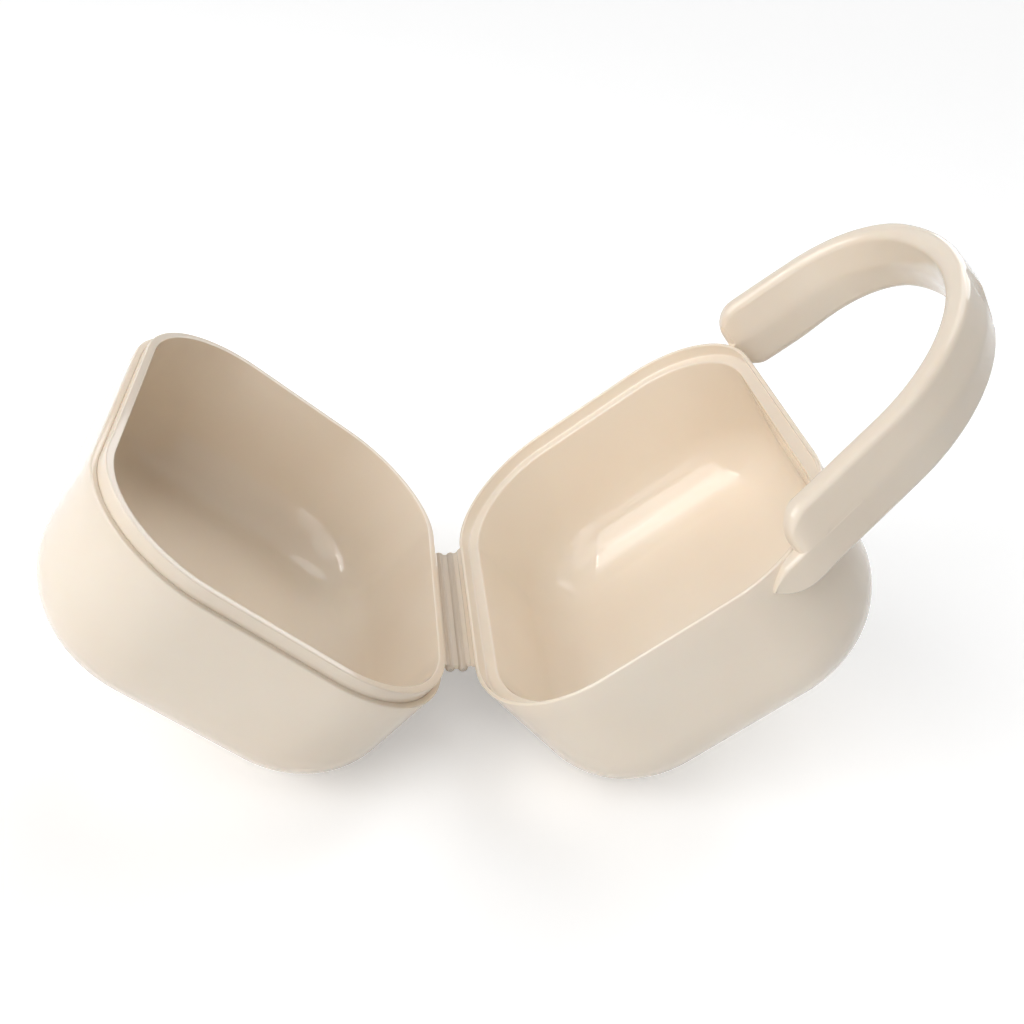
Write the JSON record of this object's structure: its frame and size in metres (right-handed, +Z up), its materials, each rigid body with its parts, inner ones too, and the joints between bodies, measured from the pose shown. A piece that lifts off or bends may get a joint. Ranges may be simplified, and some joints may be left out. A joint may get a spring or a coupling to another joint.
{
  "type": "pacifier case",
  "caption": "Rounded pacifier case in glossy ivory plastic, standing open in a V: a base cup and a lid cup joined by a folding strip, with a plug-in lip and a C-shaped carry hook.",
  "frame": {"origin": "middle of the open case on the table, below the centre of its bounding box", "axes": "+X from the lid towards the hook, +Y along the folding strip to the back, +Z up"},
  "size_m": [0.1125, 0.0636, 0.0677],
  "materials": {
    "ivory_pp": "glossy polypropylene"
  },
  "bodies": {
    "base": {"base_shell": "ivory_pp", "carry_hook": "ivory_pp", "hinge_rib_base": "ivory_pp", "hinge_web_base": "ivory_pp"},
    "link_base": {"hinge_link_base": "ivory_pp", "hinge_web_middle": "ivory_pp"},
    "link_lid": {"hinge_link_lid": "ivory_pp", "hinge_web_lid": "ivory_pp"},
    "lid": {"lid_shell": "ivory_pp", "hinge_rib_lid": "ivory_pp"}
  },
  "joints": [
    {"name": "fold_base", "type": "hinge", "parent": "base", "child": "link_base", "pos_m": [-0.00411, 0.00078, 0.01048], "axis": [0, 1, 0], "range_deg": [-25.33, 34.67]},
    {"name": "fold_middle", "type": "hinge", "parent": "link_base", "child": "link_lid", "pos_m": [-0.00593, 0.00078, 0.00993], "axis": [0, 1, 0], "range_deg": [-25.33, 34.67]},
    {"name": "fold_lid", "type": "hinge", "parent": "link_lid", "child": "lid", "pos_m": [-0.00781, 0.00078, 0.01022], "axis": [0, 1, 0], "range_deg": [-25.33, 34.67]}
  ],
  "couplings": [
    {"joint": "fold_base", "follows": "fold_lid", "ratio": 1},
    {"joint": "fold_middle", "follows": "fold_lid", "ratio": 1}
  ]
}
